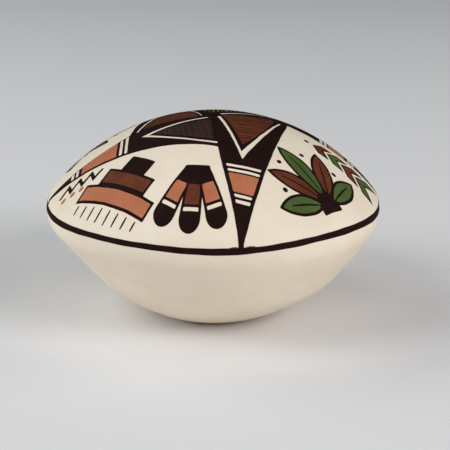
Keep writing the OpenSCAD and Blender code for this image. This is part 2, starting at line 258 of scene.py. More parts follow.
def clay_finish():
    """Bare fired clay: buff, clouded by the fire, with sand in it."""
    finish = Finish("bare_buff_clay")
    cloud = finish.cloudy((0.1, 0.1, 0.1), detail=4.0)
    sand = finish.cloudy((1.7, 1.7, 1.7), detail=2.0, roughness=0.7)
    buff, fire_cloud = paint_chip(205, 178, 142), paint_chip(180, 148, 112)
    fired = finish.tinted(finish.ranged(cloud, 0.3, 0.7), buff, fire_cloud)
    sandy = finish.tinted(finish.ranged(sand, 0.6, 0.72, 0.0, 0.5), fired, paint_chip(126, 96, 70))
    finish.shade(
        Base_Color=sandy,
        Roughness=0.78 + 0.14 * cloud,
        Normal=finish.bumped(sand + 0.5 * cloud, 0.12),
        Specular_IOR_Level=0.25,
    )
    return finish.material


def paper_finish():
    """Seamless studio paper, paler under the pot than far behind it, as painted falloff of light."""
    finish = Finish("paper_with_painted_falloff")
    fibre = finish.cloudy((0.4, 0.4, 0.4))
    # Painted light falloff: the paper's colour darkens towards the back
    far = finish.ranged(finish.along("Y"), 0.1, 0.9)
    paper = finish.tinted(far, paint_chip(233, 232, 233), paint_chip(218, 219, 221))
    finish.shade(
        Base_Color=paper,
        Roughness=0.86 + 0.08 * fibre,
        Normal=finish.bumped(fibre, 0.02),
        Specular_IOR_Level=0.2,
    )
    return finish.material


# Finishes; a pigment has the colours of its thin, its usual and its deep strokes, a roughness and a gloss
CLAY = clay_finish()
WHITE_SLIP = slip_finish()
BLACK = pigment_finish("black_pigment", (36, 18, 15), (31, 15, 12), (25, 12, 10), 0.72, 0.06)
RED_BROWN = pigment_finish("red_brown_pigment", (112, 58, 36), (95, 48, 30), (70, 34, 20), 0.68, 0.1)
DARK_BROWN = pigment_finish("dark_brown_pigment", (62, 37, 29), (55, 32, 25), (45, 26, 20), 0.7, 0.07)
FINE_BROWN = pigment_finish("fine_line_brown", (58, 30, 21), (51, 26, 18), (44, 22, 15), 0.66, 0.16)
TERRACOTTA = pigment_finish("terracotta_pigment", (191, 117, 83), (183, 109, 75), (172, 99, 66), 0.62, 0.2)
GREEN = pigment_finish("green_pigment", (80, 102, 49), (71, 91, 43), (58, 75, 35), 0.64, 0.18)
# Black lines coloured grey as a painted sheen of reflected light
PAINTED_SHEEN_BLACK = pigment_finish("black_with_painted_sheen", (50, 43, 42), (45, 38, 37), (38, 32, 31), 0.66, 0.16)


def hand_made(points):
    """Points of a true form moved as the potter's hand left it: a leaning belly, not quite round."""
    x, y, z = points.T

    def about(height, spread):
        """1 at a height, less the further a point lies above or below it."""
        return np.exp(-((z - height) / spread) ** 2)

    turn = np.arctan2(x, -y)
    # How far it leans to the right and how much fuller it is, in millimetres about some heights
    lean = 1.2 * about(12.5, 7.5) + 0.8 * about(24.5, 6.5) - 0.3 * about(36, 8)
    full = 1.05 * about(13.5, 6.5) - 1.0 * about(4, 3)
    belly = np.sin(np.clip(z / POT_H, 0, 1) * math.pi)
    swell = 1 + belly * (0.0016 * np.sin(2 * turn + 0.7) + 0.0011 * np.sin(3 * turn + 2.1 + 0.05 * z))
    swell += full / np.maximum(np.hypot(x, y), FOOT_R)
    return np.column_stack((x * swell + lean, y * swell, z))


def finished(name, corners, faces, material, slot, nodes):
    """A piece of the pot from points in millimetres, standing for nodes of the part."""
    mesh = bpy.data.meshes.new(name)
    mesh.from_pydata((hand_made(corners) * MM).tolist(), [], faces)
    mesh.materials.append(material)
    mesh.shade_smooth()
    mesh.set_sharp_from_angle(angle=math.radians(40))
    piece = bpy.data.objects.new(name, mesh)
    bpy.context.scene.collection.objects.link(piece)
    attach(piece, "root")
    if nodes:
        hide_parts(*nodes)


def arc(centre, radius, start, end, step):
    """Points of a profile arc from one angle to another, about a step apart."""
    count = 2 + int(radius * math.radians(abs(end - start)) / step)
    angles = np.radians(np.linspace(start, end, count))
    return np.column_stack((centre[0] + radius * np.cos(angles), centre[1] + radius * np.sin(angles)))


def crown_angle(radius):
    """Angle at which a dome arc of that radius reaches the seed hole."""
    return math.degrees(math.acos(HOLE_R / radius))


def skin(depth, step):
    """The pot's profile at a depth below its surface, from the foot up to the seed hole."""
    dome = DOME_R - depth
    return np.vstack((
        arc(TURN_C, TURN_R - depth, -90, FLANK_FROM, step)[:-1],
        arc(FLANK_C, FLANK_R - depth, FLANK_FROM, FLANK_TO, step)[:-1],
        arc(SHOULDER_C, SHOULDER_R - depth, FLANK_TO, DOME_FROM, step)[:-1],
        arc(DOME_C, dome, DOME_FROM, crown_angle(dome), step),
    ))


def ring_faces(turns, count):
    """Faces of a closed section with a count of points, carried once round the axis in a number of turns."""
    faces = []
    for turn in range(turns):
        after = (turn + 1) % turns
        for here in range(count):
            there = (here + 1) % count
            corners = ((turn, here), (after, here), (after, there), (turn, there))
            faces.append(tuple(step * count + point for step, point in corners))
    return faces


def turned(name, section, material, slot, nodes, turns=TURNS):
    """A ring with a closed section, turned about the pot's axis."""
    count = len(section)
    angles = np.linspace(0, 2 * math.pi, turns, endpoint=False)
    around = np.column_stack((np.cos(angles), np.sin(angles)))
    corners = np.empty((turns, count, 3))
    corners[:, :, :2] = around[:, None, :] * section[None, :, :1]
    corners[:, :, 2] = section[None, :, 1]
    finished(name, corners.reshape(-1, 3), ring_faces(turns, count), material, slot, nodes)


def slip_coat():
    """The white slip, one coat from the foot over the shoulder to the seed hole."""
    face = skin(PAINT_T, SKIN_STEP)
    back = skin(SLIP_IN, 4 * SKIN_STEP)[::-1]
    nodes = ("turn_slip", "flank_slip", "shoulder_slip", "dome_slip")
    turned("white_slip_coat", np.vstack((face, back)), WHITE_SLIP, "white_slip", nodes)


def clay_course(node, centre, radius, start, end):
    """One course of clay: smooth outside, still round inside where no tool reached the coil."""
    bulge, coil_step = 0.5, 0.8
    face = arc(centre, radius - SLIP_IN, start, end, 2 * SKIN_STEP)
    back = arc(centre, radius - CLAY_IN, end, start, coil_step)
    across = np.linspace(-1, 1, len(back))
    inward = centre - back
    inward /= np.hypot(*inward.T)[:, None]
    back = back + inward * (bulge * (1 - across ** 4))[:, None]
    turned("clay_" + node, np.vstack((face, back)), CLAY, "clay", (node,), CLAY_TURNS)


def clay_body():
    """The courses of the pot from its foot to the ring round the seed hole."""
    half_turn = (FLANK_FROM - 90) / 2
    half_flank = (FLANK_FROM + FLANK_TO) / 2
    clay_course("bowl_course_1", TURN_C, TURN_R, -90, half_turn)
    clay_course("bowl_course_2", TURN_C, TURN_R, half_turn, FLANK_FROM)
    clay_course("bowl_course_3", FLANK_C, FLANK_R, FLANK_FROM, half_flank)
    clay_course("bowl_course_4", FLANK_C, FLANK_R, half_flank, FLANK_TO)
    clay_course("shoulder_course", SHOULDER_C, SHOULDER_R, FLANK_TO, DOME_FROM)
    steps = np.linspace(DOME_FROM, MOUTH_FROM, 5)
    for number in range(4):
        clay_course(f"dome_course_{number + 1}", DOME_C, DOME_R, steps[number], steps[number + 1])
    clay_course("mouth_ring", DOME_C, DOME_R, MOUTH_FROM, crown_angle(DOME_R - SLIP_IN))


def foot_disc():
    """The flat foot of bare clay, a little hollow in its middle and rounded at its edge."""
    edge = 0.5
    under = [(0.4, 0.25), (4.0, 0.22), (8.0, 0.14), (FOOT_R - 1.6, 0.03), (FOOT_R - edge, 0.0)]
    rim = [(FOOT_R - 0.1, 0.12), (FOOT_R, edge), (FOOT_R, CLAY_IN)]
    top = [(8.0, CLAY_IN + 0.2), (0.4, CLAY_IN + 0.3)]
    turned("clay_foot_disc", np.array(under + rim + top), CLAY, "clay", ("base_disc",), CLAY_TURNS)


def hole_paint_and_shade():
    """Black down the seed hole: paint over the lip, and painted shade further down the hole."""
    # How far the black reaches down the hole, as painted shade below the lip
    run = 3.2
    top = DOME_Z + math.sqrt((DOME_R - PAINT_T + COAT) ** 2 - HOLE_R ** 2)
    low = top - run
    section = [(HOLE_R, low), (HOLE_R, top), (HOLE_R - COAT, top), (HOLE_R - COAT, low)]
    turned("hole_paint_and_painted_shade", np.array(section), BLACK, "black_paint", (), HOLE_TURNS)


def stray(angles, edge):
    """How far an edge of the stripe lies above its true course at angles about the axis."""
    strays = np.array(STRIPE_STRAYS)
    at = np.degrees(angles) + 90
    spread = np.linspace(-5, 5, 9)
    return np.mean([np.interp(at + off, strays[:, 0], strays[:, edge], period=360) for off in spread], axis=0)


def stripe():
    """The dark stripe round the shoulder, its edges drawn freehand on a turning pot."""
    across = 7
    angles = np.linspace(0, 2 * math.pi, 2 * TURNS, endpoint=False)
    upper = stray(angles, 1) + 0.05 * np.sin(7 * angles + 0.4) + 0.04 * np.sin(17 * angles + 1.9)
    lower = stray(angles, 2) + 0.06 * np.sin(6 * angles + 2.2) + 0.04 * np.sin(19 * angles + 0.3)
    top = np.radians(STRIPE_TO) + (upper + 0.03 * np.sin(41 * angles)) / SHOULDER_R
    bottom = np.radians(STRIPE_FROM) + (lower + 0.03 * np.sin(37 * angles)) / SHOULDER_R
    share = np.linspace(0, 1, across)
    rise = bottom[:, None] + (top - bottom)[:, None] * share

    def layer(radius):
        """Points across the stripe at a radius about the middle of the shoulder's arc."""
        reach = SHOULDER_C[0] + radius * np.cos(rise)
        height = SHOULDER_C[1] + radius * np.sin(rise)
        return np.stack((reach * np.cos(angles)[:, None], reach * np.sin(angles)[:, None], height), axis=2)

    slip_r = SHOULDER_R - PAINT_T
    corners = np.concatenate((layer(slip_r + STRIPE_COAT), layer(slip_r)[:, ::-1]), axis=1)
    faces = ring_faces(len(angles), 2 * across)
    nodes = ("shoulder_stripe",)
    finished("painted_shoulder_stripe", corners.reshape(-1, 3), faces, BLACK, "black_paint", nodes)


def plan(share, turn):
    """A point of the plan at a share of the pot's radius and a turn from the front."""
    angle = math.radians(turn)
    return np.array([math.sin(angle), -math.cos(angle)]) * POT_R * share


def swung(points, degrees):
    """Plan points turned about the axis."""
    angle = math.radians(degrees)
    cos, sin = math.cos(angle), math.sin(angle)
    return np.asarray(points) @ np.array([[cos, sin], [-sin, cos]])


def ring(radius, count=20):
    """Points of a circle round the origin."""
    around = np.linspace(0, 2 * math.pi, count, endpoint=False)
    return np.column_stack((np.cos(around), np.sin(around))) * radius


def placed(points, turn, share):
    """A motif drawn round the origin, x to the right and y to the mouth, set into its panel."""
    return swung(np.asarray(points) + (0, -POT_R * share), turn)


def unsteady(points):
    """Plan points moved a little, as by a brush held in the hand."""
    x, y = points.T
    sideways = 0.04 * np.sin(0.62 * x + 0.35 * y + 0.4) + 0.025 * np.sin(1.35 * y - 0.5 * x + 2.0)
    along = 0.04 * np.sin(0.55 * y - 0.41 * x + 1.1) + 0.025 * np.sin(1.2 * x + 0.7 * y + 0.2)
    return points + np.column_stack((sideways, along))


def drawn(corners, step=EDGE_STEP):
    """A closed outline through corners in short steps, its corners softened and its line unsteady."""
    corners = np.asarray(corners, float)
    steps = []
    for first, second in zip(corners, np.roll(corners, -1, axis=0)):
        count = max(1, round(math.hypot(*(second - first)) / step))
        steps.append(first + (second - first) * (np.arange(count) / count)[:, None])
    outline = np.vstack(steps)
    soft = (np.roll(outline, 1, axis=0) + 2 * outline + np.roll(outline, -1, axis=0)) / 4
    return unsteady(soft)


def laid(points, lift):
    """Plan points laid down on the slip and lifted off it by the paint's thickness."""
    reach = np.hypot(*points.T)
    around = points / np.maximum(reach, 1e-6)[:, None]
    depth = PAINT_T - lift
    dome = np.arccos(np.clip(reach / DOME_R, -1, 1))
    shoulder = np.arccos(np.clip((reach - SHOULDER_C[0]) / SHOULDER_R, -1, 1))
    on_dome = reach <= DOME_EDGE
    angle = np.where(on_dome, dome, shoulder)
    radius = np.where(on_dome, DOME_R, SHOULDER_R) - depth
    out = np.where(on_dome, 0.0, SHOULDER_C[0]) + radius * np.cos(angle)
    height = np.where(on_dome, DOME_Z, SHOULDER_H) + radius * np.sin(angle)
    return np.column_stack((around * out[:, None], height))


def inside(points, outlines):
    """Which plan points lie inside the outlines, an outline within another being a hole."""
    odd = np.zeros(len(points), bool)
    x, y = points[:, :1], points[:, 1:]
    for outline in outlines:
        first, second = outline, np.roll(outline, -1, axis=0)
        level = np.where(second[:, 1] == first[:, 1], 1e-12, second[:, 1] - first[:, 1])
        spans = (first[:, 1] > y) != (second[:, 1] > y)
        cross = first[:, 0] + (y - first[:, 1]) * (second[:, 0] - first[:, 0]) / level
        odd ^= np.count_nonzero(spans & (x < cross), axis=1) % 2 == 1
    return odd


def filling(outlines, step):
    """Plan points spread inside the outlines, clear of their edges."""
    edge = np.vstack(outlines)
    low, high = edge.min(axis=0), edge.max(axis=0)
    xs = np.arange(low[0], high[0], step)
    ys = np.arange(low[1], high[1], step)
    grid = np.stack(np.meshgrid(xs, ys), axis=2).reshape(-1, 2)
    if len(grid) == 0:
        return grid
    grid = grid[inside(grid, outlines)]
    clear = [np.min(np.hypot(*(edge - point).T)) > 0.5 * step for point in grid]
    return grid[np.array(clear, bool)]


def painted(name, material, slot, outlines, nodes=(), lift=COAT, step=GRID_STEP):
    """A painted area between outlines, as a thin solid on the slip."""
    corners = np.vstack(outlines + [filling(outlines, step)])
    edges = []
    start = 0
    for outline in outlines:
        count = len(outline)
        edges += [(start + here, start + (here + 1) % count) for here in range(count)]
        start += count
    found = delaunay_2d_cdt([Vector(corner) for corner in corners], edges, [], 0, 1e-6)
    spots = np.array([tuple(spot) for spot in found[0]])
    cells = np.array(found[2])
    cells = cells[inside(spots[cells].mean(axis=1), outlines)]
    side, other = spots[cells[:, 1]] - spots[cells[:, 0]], spots[cells[:, 2]] - spots[cells[:, 0]]
    backward = side[:, 0] * other[:, 1] < side[:, 1] * other[:, 0]
    cells[backward] = cells[backward][:, ::-1]
    used, cells = np.unique(cells, return_inverse=True)
    spots, cells = spots[used], cells.reshape(-1, 3)
    count = len(spots)
    faces = [tuple(cell) for cell in cells] + [tuple(cell[::-1] + count) for cell in cells]
    rims = {(cell[here], cell[here - 2]) for cell in cells for here in range(3)}
    faces += [(a, a + count, b + count, b) for a, b in sorted(rims) if (b, a) not in rims]
    faces = [tuple(int(corner) for corner in face) for face in faces]
    layers = np.vstack((laid(spots, lift), laid(spots, 0.0)))
    finished(name, layers, faces, material, slot, nodes)


def stroke(path, width, ends=0.5):
    """Outline of a brush line along plan points, thinner towards its ends."""
    path = np.asarray(path, float)
    way = np.gradient(path, axis=0)
    way /= np.hypot(*way.T)[:, None]
    share = np.linspace(0, 1, len(path))
    half = width / 2 * (ends + (1 - ends) * np.sqrt(np.sin(math.pi * np.clip(share, 0.02, 0.98))))
    aside = np.column_stack((-way[:, 1], way[:, 0])) * half[:, None]
    return unsteady(np.vstack((path + aside, (path - aside)[::-1])))


def straight(first, second):
    """Points of a straight line."""
    count = max(3, 1 + round(math.hypot(*(np.asarray(second) - first)) / EDGE_STEP))
    return np.linspace(first, second, count)


# Shares of the pot's radius at which a spike's tip starts, the rest of the spike ends under it, the edges are
# at their narrowest, and the tip ends on the stripe
TIP_FROM_SHARE, SPIKE_END_SHARE = 0.95, 0.955
TIP_SHARE, TIP_END_SHARE = 0.985, 0.994

# Widths of the white lines across a spike, from the mouth outwards
LINE_WIDTHS = (1.0, 1.0, 0.9, 1.05)


class Spike:
    """A spike of the star, drawn as if it pointed to the front."""

    def __init__(self, corner, tip, tip_w, bows, bands, borders, tilt):
        half = math.degrees(tip_w / 2 / POT_R)
        self.corner = plan(*corner)
        self.next_corner = None
        self.tip_left, self.tip_right = plan(TIP_SHARE, tip - half), plan(TIP_SHARE, tip + half)
        self.foot = [plan(TIP_END_SHARE, tip - half), plan(TIP_END_SHARE, tip + half)]
        self.bows, self.bands, self.borders, self.tilt = bows, bands, borders, tilt

    @staticmethod
    def edge(first, second, bow, depth):
        """A point of an edge at a depth, bowed most at its own place between the ends."""
        share = min(max((depth - first[1]) / (second[1] - first[1]), 0), 1)
        size, middle = bow
        aside = size * share / middle * ((1 - share) / (1 - middle)) ** (1 / middle - 1)
        return np.array([first[0] + share * (second[0] - first[0]) + aside, depth])

    def left(self, depth):
        """A point of the left edge at a depth."""
        return self.edge(self.corner, self.tip_left, self.bows[0], depth)

    def right(self, depth):
        """A point of the right edge at a depth."""
        return self.edge(self.tip_right, self.next_corner, self.bows[1], depth)

    def outline(self):
        """Outline of the spike's edges from one inner corner of the star to the next."""
        end = -SPIKE_END_SHARE * POT_R
        lefts = [self.left(depth) for depth in np.linspace(self.corner[1], end, 16)]
        rights = [self.right(depth) for depth in np.linspace(end, self.next_corner[1], 24)]
        return lefts + rights[:-1]

    def tip(self):
        """Outline of the spike's end, from the edge of the dome to the stripe."""
        start = -TIP_FROM_SHARE * POT_R
        lefts = [self.left(depth) for depth in np.linspace(start, self.tip_left[1], 8)]
        rights = [self.right(depth) for depth in np.linspace(self.tip_right[1], start, 8)]
        return lefts + self.foot + rights

    def window(self, near, far):
        """An opening across the spike between two distances from the axis, inside the dark borders."""
        lefts, rights = [], []
        for depth in (-far, -(near + far) / 2, -near):
            slope = self.tilt * (self.right(depth)[0] - self.left(depth)[0]) / 2
            lefts.append(self.left(depth - slope) + (self.borders[0], 0))
            rights.append(self.right(depth + slope) - (self.borders[1], 0))
        return lefts[:1] + rights + lefts[:0:-1]

    def block(self):
        """The place of the terracotta block."""
        return self.window(*self.bands[2:4])

    def lines(self):
        """The white lines, two on each side of the block."""
        places = self.bands[:2] + self.bands[4:]
        halves = [width / 2 for width in LINE_WIDTHS]
        return [self.window(place - half, place + half) for place, half in zip(places, halves)]


# Spikes: inner corner as share and turn, turn and width of the tip, bows of the left and the right edge,
# distances of two lines, both ends of the block and two lines from the axis, widths of the left and the right
# border, tilt of the bands
SPIKES = {
    "front": Spike((0.439, 3.7), 9.3, 1.7, ((-0.5, 0.36), (1.4, 0.58)),
                   (33.5, 35.4, 36.5, 42.85, 43.85, 45.55), (1.35, 1.2), -0.06),
    "right": Spike((0.443, 8.0), -0.2, 1.5, ((-1.7, 0.6), (1.5, 0.5)),
                   (36.7, 38.2, 39.2, 44.6, 46.1, 47.4), (0.5, 1.2), 0.0),
    "back": Spike((0.45, 5.0), 8.0, 1.5, ((-0.3, 0.4), (2.8, 0.5)),
                  (33.2, 35.0, 36.1, 43.0, 44.1, 45.8), (1.3, 1.2), -0.04),
    "left": Spike((0.5, 11.1), 10.3, 1.8, ((2.35, 0.42), (2.4, 0.33)),
                  (28.7, 30.5, 31.9, 43.8, 45.3, 46.9), (0.3, 1.15), 0.0),
}
IN_TURN = list(SPIKES.values())
for spike, following in zip(IN_TURN, IN_TURN[1:] + IN_TURN[:1]):
    spike.next_corner = swung([following.corner], 90)[0]


def away(first, second, third):
    """Direction square to the line from first to second, away from a third point."""
    along = np.subtract(second, first)
    aside = np.array([-along[1], along[0]]) / math.hypot(*along)
    return aside if np.dot(np.subtract(third, first), aside) < 0 else -aside


def bowed(first, second, bow, third):
    """Points of a line bowed away from a third point."""
    share = np.linspace(0, 1, 14)[:, None]
    line = np.asarray(first) + share * np.subtract(second, first)
    return line + 4 * bow * share * (1 - share) * away(first, second, third)


# Blades of the pinwheel, in plan from above: white line from its start over the tip to its end, corner inside
# the tip, widths at both ends, bows of both strokes, corners and bows of the coloured field
BLADES = {
    "front": {"start": (1.65, -1.6), "tip": (9.25, -30.2), "apex": (9.1, -26.6), "end": (22.5, 2.2),
              "widths": (1.1, 0.6), "bows": (0.05, 1.05),
              "field": ((2.6, 0.6), (9.6, -22.8), (20.4, 3.7)), "field_bows": (0.0, 2.1)},
    "right": {"start": (2.2, 1.9), "tip": (27.0, 14.6), "apex": (23.9, 13.8), "end": (-6.6, 22.0),
              "widths": (1.1, 0.8), "bows": (0.3, 0.8),
              "field": ((-1.8, 4.8), (21.6, 13.9), (-7.4, 19.4)), "field_bows": (0.2, 0.6)},
    "back": {"start": (-3.9, -0.5), "tip": (-15.3, 26.7), "apex": (-15.0, 23.4), "end": (-25.7, -5.1),
             "widths": (0.4, 0.8), "bows": (1.1, 0.05),
             "field": ((-5.0, -1.2), (-14.8, 20.4), (-23.6, -4.1)), "field_bows": (0.9, 0.0)},
    "left": {"start": (-1.8, -3.2), "tip": (-23.9, -11.1), "apex": (-21.4, -11.6), "end": (1.4, -22.8),
             "widths": (0.9, 1.0), "bows": (0.4, 1.6),
             "field": ((-0.9, -5.3), (-20.1, -11.7), (0.1, -20.8)), "field_bows": (0.2, 1.0)},
}


def blade_line(blade):
    """Outline of the white line of a blade: down one stroke to the tip, up the other and back inside."""
    start, tip, apex, end = (np.array(blade[key]) for key in ("start", "tip", "apex", "end"))
    first_out = away(start, tip, end) * blade["widths"][0] / 2
    second_out = away(tip, end, start) * blade["widths"][1] / 2
    first_bow, second_bow = blade["bows"]
    return np.vstack((
        bowed(start + first_out, tip, first_bow, end)[:-1],
        bowed(tip, end + second_out, second_bow, start),
        bowed(end - second_out, apex, second_bow, start)[:-1],
        bowed(apex, start - first_out, first_bow, end),
    ))


def blade_field(blade):
    """Outline of the coloured field of a blade, its straight side last."""
    inner, apex, far = blade["field"]
    first_bow, second_bow = blade["field_bows"]
    return np.vstack((bowed(inner, apex, first_bow, far)[:-1], bowed(apex, far, second_bow, inner)))


def star():
    """The black star with its spikes, open where white lines, blocks and blades are."""
    outline = []
    holes = [window(blade) for blade in BLADES.values() for window in (blade_line, blade_field)]
    for number, spike in enumerate(SPIKES.values()):
        outline += list(swung(spike.outline(), 90 * number))
        holes += [swung(window, 90 * number) for window in [spike.block(), *spike.lines()]]
    outlines = [drawn(outline), ring(HOLE_R, 40)] + [drawn(hole) for hole in holes]
    nodes = ["star_ground"] + ["spike_" + name for name in SPIKES]
    painted("painted_star", BLACK, "black_paint", outlines, nodes)
    for number, (name, spike) in enumerate(SPIKES.items()):
        outline = drawn(swung(spike.tip(), 90 * number), FINE_EDGE_STEP)
        node = f"tip_{name}"
        painted("painted_" + node, BLACK, "black_paint", [outline], [node], RUN_OVER_COAT, FINE_GRID_STEP)


def smudges():
    """Two thin smudges of a brush in front, just above the stripe."""
    share, width = 0.9914, 0.21
    turns_and_lengths = ((7.0, 2.8), (12.0, 3.4))
    for number, (turn, length) in enumerate(turns_and_lengths, 1):
        path = [plan(share, turn + off) for off in np.linspace(-0.5, 0.5, 25) * length]
        outline = stroke(path, width, 0.2)
        painted(f"stripe_smudge_{number}", RED_BROWN, "brown_paint", [outline], step=FINE_GRID_STEP)


def blocks():
    """The terracotta blocks on the spikes."""
    for number, (name, spike) in enumerate(SPIKES.items()):
        outline = drawn(swung(spike.block(), 90 * number))
        painted(f"painted_block_{name}", TERRACOTTA, "terracotta_paint", [outline], [f"block_{name}"])


def crossings(corners, depth):
    """Where a level line crosses an outline, from left to right."""
    found = []
    for first, second in zip(corners, np.roll(corners, -1, axis=0)):
        if (first[1] > depth) != (second[1] > depth):
            share = (depth - first[1]) / (second[1] - first[1])
            found.append(first[0] + share * (second[0] - first[0]))
    return sorted(found)


def hatching(corners, lean, pitch, width):
    """Fine lines across an outline, leaning from the level by an angle and not quite evenly spaced."""
    unevenness, shortest, clear = 0.14, 1.2, 0.2
    level = swung(corners, -lean)
    depths = np.arange(level[:, 1].min() + pitch, level[:, 1].max() - 0.5 * pitch, pitch)
    lines = []
    for number, depth in enumerate(depths):
        depth += unevenness * pitch * math.sin(2.4 * number)
        ends = crossings(level, depth)
        if ends[-1] - ends[0] > shortest:
            path = straight((ends[0] + clear, depth), (ends[-1] - clear, depth))
            lines.append(stroke(swung(path, lean), width, 0.75))
    return lines


# Paints of the blades: that of the field, that of its fine lines, and the lines' lean, distance and width
BLADE_PAINTS = {
    "front": ((RED_BROWN, "brown_paint"), (FINE_BROWN, "brown_paint"), (0, 1.9, 0.62)),
    "right": ((GREEN, "green_paint"), (BLACK, "black_paint"), (90, 1.5, 0.9)),
    "back": ((RED_BROWN, "brown_paint"), (FINE_BROWN, "brown_paint"), (4, 1.9, 0.62)),
    # The left blade's black lines are coloured grey as painted sheen
    "left": ((DARK_BROWN, "brown_paint"), (PAINTED_SHEEN_BLACK, "black_paint"), (-80.5, 1.95, 0.85)),
}


def blades():
    """The coloured fields of the blades and the fine lines drawn across them."""
    for name, (field_paint, line_paint, hatch) in BLADE_PAINTS.items():
        corners = blade_field(BLADES[name])
        painted(f"painted_blade_{name}", *field_paint, [drawn(corners)], [f"blade_{name}"])
        painted(f"fine_lines_{name}", *line_paint, hatching(corners, *hatch), lift=SECOND_COAT)


# Panel motifs: turns from the front, places as shares of the pot's radius, lengths and widths
SIDES = {"front": 0, "back": 180}
OUTLINE_W = 0.8
FAN_TURNS, FAN_SHARE = {"front": 47, "back": 249}, 0.9
LEAF_SIZES = (0.78, 0.87, 1.0, 0.92, 0.78)
LEAF_L, LEAF_W, LEAF_FROM, LEAF_STEP = 18.5, 5.8, 3.2, 36
RIB_W, RIB_SHARE = 0.55, 0.78
FAN_DOT_R, FAN_DOT_REACHES = 0.8, (15.0, 18.0, 18.0, 15.0)
CLOUD_TURN, CLOUD_SHARE = -41, 0.885
CLOUD_W, STEP_H = 30.0, 5.6
RAIN_LINES, RAIN_W, RAIN_SPAN, RAIN_FROM, RAIN_TO_SHARE = 8, 0.6, 25.2, 0.7, 0.963
FEATHER_TURN, FEATHER_SHARE = -8, 0.55
FEATHER_L, FEATHER_TOP_W, FEATHER_W, FEATHER_LEAN = 17.4, 2.6, 5.2, 25
FEATHER_FROM, FEATHER_FIELD, FEATHER_BAR = 2.0, (7.4, 13.5), (14.3, 15.4)
CHEVRON_TURNS, CHEVRON_SHARE = {"front": 78, "back": 219}, 0.74
CHEVRON_W, CHEVRON_H, CHEVRON_PITCH, CHEVRON_LOW = 10.4, 2.3, 4.8, -9.0
CHEVRON_TAPER, CHEVRON_SLOPE, CHEVRON_OUTLINE_W = 0.55, 0.6, 0.7
CHEVRON_DOT_R, CHEVRON_DOT_RISE = 0.9, 10.4


def dot(place, turn, share, radius):
    """Outline of a dot of a motif."""
    return drawn(placed(ring(radius) + place, turn, share))


def leaf(size, grow):
    """A pointed leaf from the origin along y, its sides moved outwards."""
    length, width = LEAF_L * size, LEAF_W * size
    side = (length ** 2 + width ** 2) / (4 * width)
    off = side - width / 2
    reach = math.sqrt((side + grow) ** 2 - off ** 2)
    swing = math.atan2(reach, off)
    sweep = np.linspace(-swing, swing, 15)[:-1]
    right = np.column_stack((np.cos(sweep) * (side + grow) - off, np.sin(sweep) * (side + grow)))
    return np.vstack((right, -right)) + (0, length / 2)


def leaf_fan(side, turn):
    """A fan of five leaves, green and brown by turns, on a stepped foot, with dots between them."""
    pigments = {"green_paint": GREEN, "brown_paint": RED_BROWN}
    ribs = []
    for number, size in enumerate(LEAF_SIZES, 1):
        slot = "green_paint" if number % 2 else "brown_paint"
        lean = (3 - number) * LEAF_STEP
        inner, outer = (swung(leaf(size, grow) + (0, LEAF_FROM), lean) for grow in (0, OUTLINE_W))
        inner, outer = (drawn(placed(outline, turn, FAN_SHARE)) for outline in (inner, outer))
        painted(f"painted_leaf_{number}_{side}", pigments[slot], slot, [inner], [f"leaf_{number}_{side}"])
        painted(f"leaf_outline_{number}_{side}", BLACK, "black_paint", [outer, inner])
        rib = straight((0, LEAF_FROM + 0.3), (0, LEAF_FROM + RIB_SHARE * LEAF_L * size))
        ribs.append(stroke(placed(swung(rib, lean), turn, FAN_SHARE), RIB_W, 0.3))
    painted(f"leaf_ribs_{side}", BLACK, "black_paint", ribs, lift=SECOND_COAT)
    steps = [(4.2, -1.5), (4.2, 1.3), (2.9, 1.3), (2.9, 3.9)]
    steps += [(-x, y) for x, y in reversed(steps)]
    foot = drawn(placed(steps, turn, FAN_SHARE))
    painted(f"painted_fan_foot_{side}", BLACK, "black_paint", [foot], [f"fan_line_{side}"], RUN_OVER_COAT)
    spots = []
    for number, reach in enumerate(FAN_DOT_REACHES):
        lean = math.radians((number - 1.5) * LEAF_STEP)
        spots.append(dot((math.sin(lean) * reach, math.cos(lean) * reach), turn, FAN_SHARE, FAN_DOT_R))
    painted(f"fan_dots_{side}", BLACK, "black_paint", spots)


def terrace_half(number):
    """Half the width of a terrace of the cloud, counted from below."""
    return CLOUD_W * (4 - number) / 6


def terrace_field(number):
    """The coloured area of a terrace, inside the cloud's outline."""
    half = terrace_half(number) - OUTLINE_W
    low, high = (number - 1) * STEP_H + OUTLINE_W, number * STEP_H - OUTLINE_W
    return [(-half, low), (half, low), (half, high), (-half, high)]


def cloud(side, turn):
    """A stepped cloud in terracotta and brown with a black head, and rain under it."""
    terraces = []
    for number in (1, 2, 3):
        half = terrace_half(number)
        terraces += [(half, (number - 1) * STEP_H), (half, number * STEP_H)]
    whole = terraces + [(-x, y) for x, y in reversed(terraces)]
    outline, low, high = (
        drawn(placed(shape, turn, CLOUD_SHARE)) for shape in (whole, terrace_field(1), terrace_field(2)))
    painted(f"painted_cloud_{side}", BLACK, "black_paint", [outline, low, high], [f"cloud_line_{side}"])
    painted(f"painted_cloud_low_{side}", TERRACOTTA, "terracotta_paint", [low], [f"cloud_low_{side}"])
    painted(f"painted_cloud_high_{side}", RED_BROWN, "brown_paint", [high], [f"cloud_high_{side}"])
    rain = []
    for x in np.linspace(-RAIN_SPAN / 2, RAIN_SPAN / 2, RAIN_LINES):
        reach = math.sqrt((RAIN_TO_SHARE * POT_R) ** 2 - x ** 2) - CLOUD_SHARE * POT_R
        rain.append(stroke(placed(straight((x, -RAIN_FROM), (x, -reach)), turn, CLOUD_SHARE), RAIN_W))
    painted(f"cloud_rain_{side}", BLACK, "black_paint", rain)


def feather_span(near, far, grow):
    """Part of a feather between two distances from its top, its sides moved outwards."""
    upper, lower = (
        (FEATHER_TOP_W + (FEATHER_W - FEATHER_TOP_W) * at / FEATHER_L) / 2 + grow for at in (near, far))
    return [(-lower, -far), (lower, -far), (upper, -near), (-upper, -near)]


